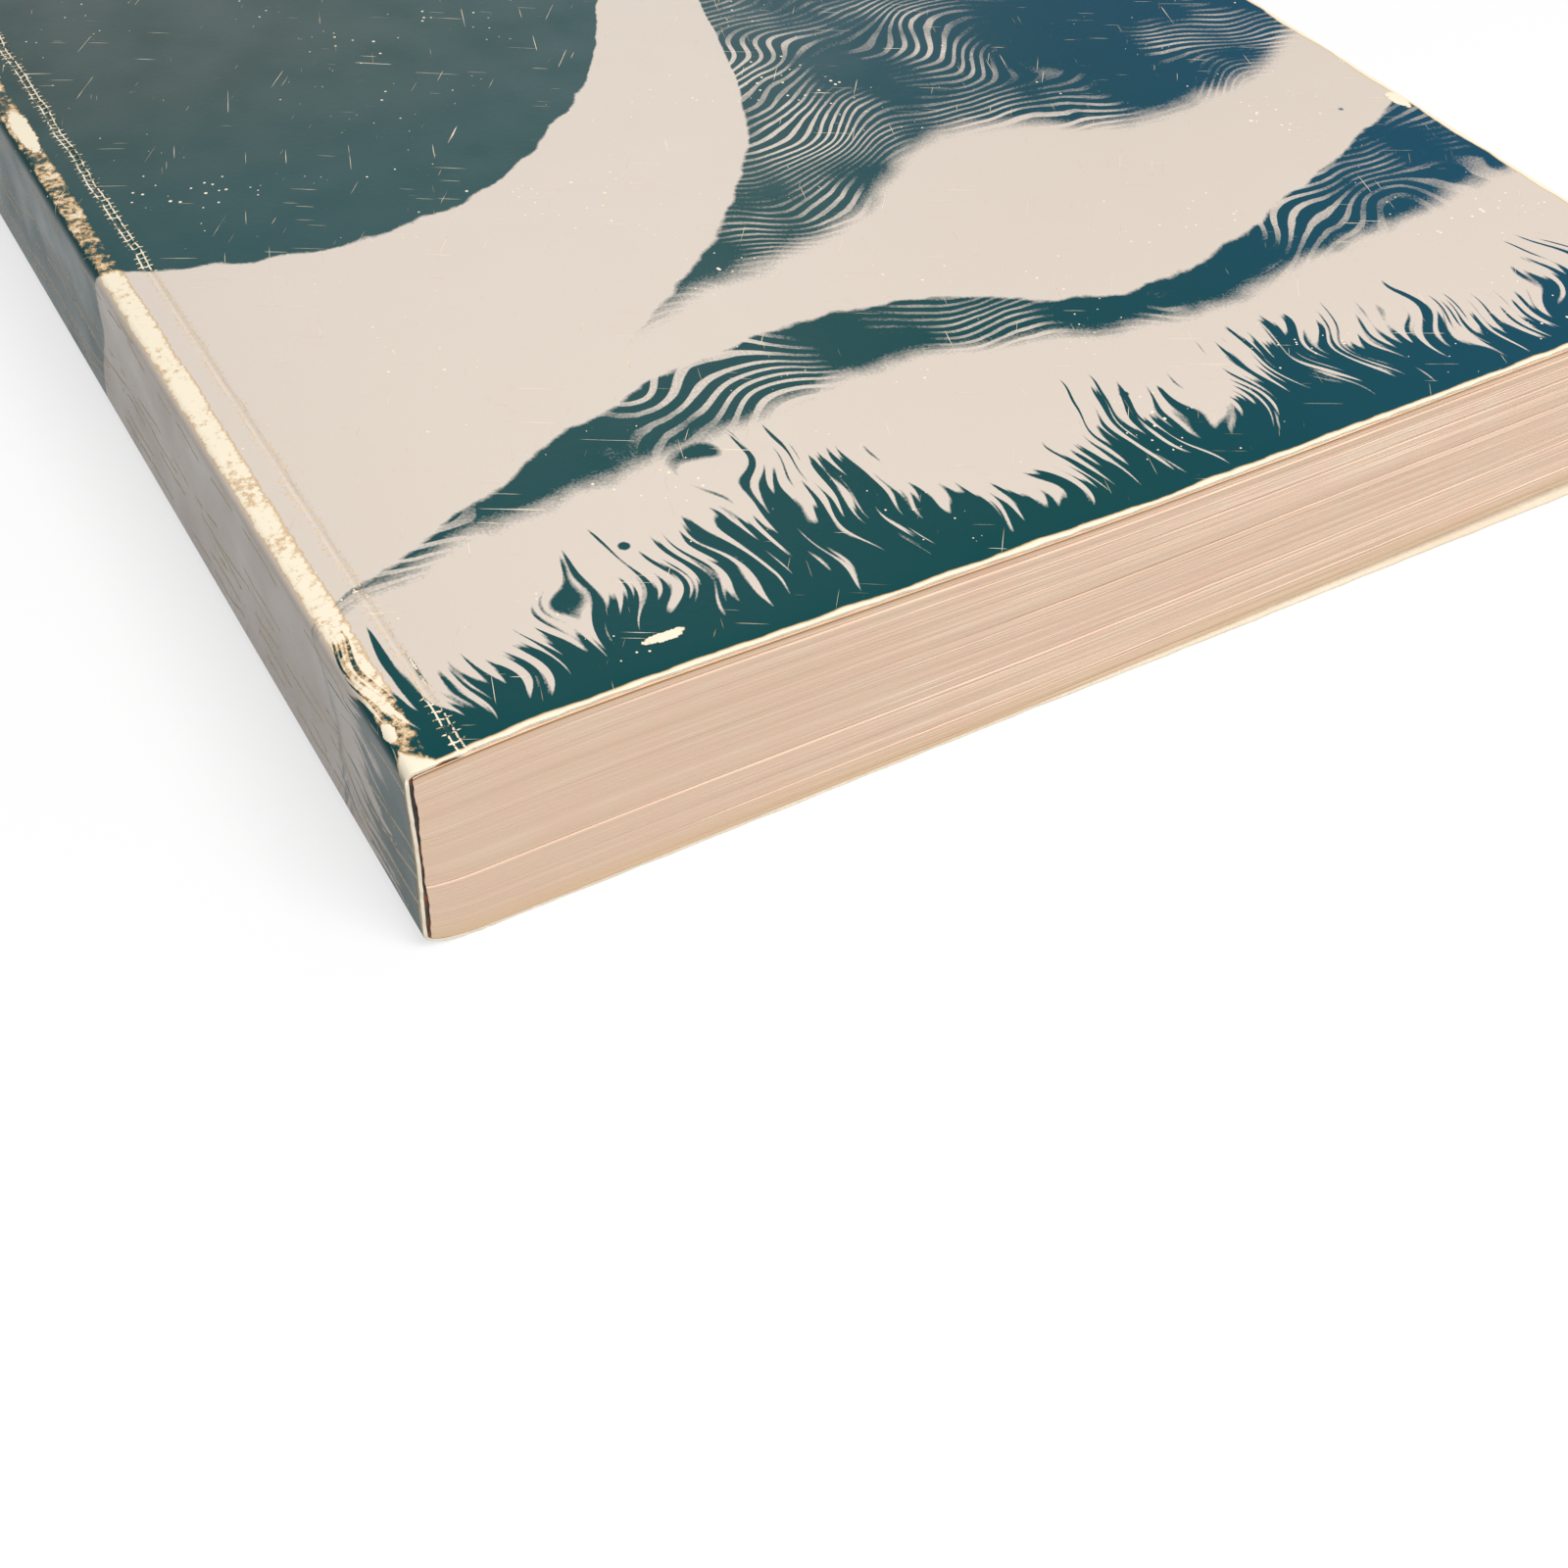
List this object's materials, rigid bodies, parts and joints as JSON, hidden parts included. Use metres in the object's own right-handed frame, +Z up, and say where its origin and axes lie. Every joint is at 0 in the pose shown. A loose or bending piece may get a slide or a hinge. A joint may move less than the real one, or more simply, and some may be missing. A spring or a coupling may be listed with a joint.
{
  "type": "paperback book",
  "caption": "Thick paperback book with a square spine, scored card covers that open as flaps, and a glued block of leaves with a slight curl.",
  "frame": {"origin": "under the middle of the closed book, on the surface that its back cover lies on", "axes": "+X from the spine to the fore-edge, +Y from the tail to the head, +Z up through the front cover"},
  "size_m": [0.1906, 0.235, 0.0307],
  "materials": {
    "cover_card": "glossy laminated two-tone print, rubbed at the edges",
    "adhesive": "aged brown binding glue",
    "leaves": "toned book paper, cut edges"
  },
  "bodies": {
    "book_block": {"text_block": "leaves", "spine_adhesive": "adhesive", "spine_cover": "cover_card"},
    "front_cover": {"front_cover": "cover_card"},
    "back_cover": {"back_cover": "cover_card"}
  },
  "joints": [
    {"name": "front_cover_hinge", "type": "hinge", "parent": "book_block", "child": "front_cover", "pos_m": [-0.08887, 0, 0.02835], "axis": [0, -1, 0], "range_deg": [0, 175]},
    {"name": "back_cover_hinge", "type": "hinge", "parent": "book_block", "child": "back_cover", "pos_m": [-0.08887, 0, 0], "axis": [0, 1, 0], "range_deg": [0, 175]}
  ]
}
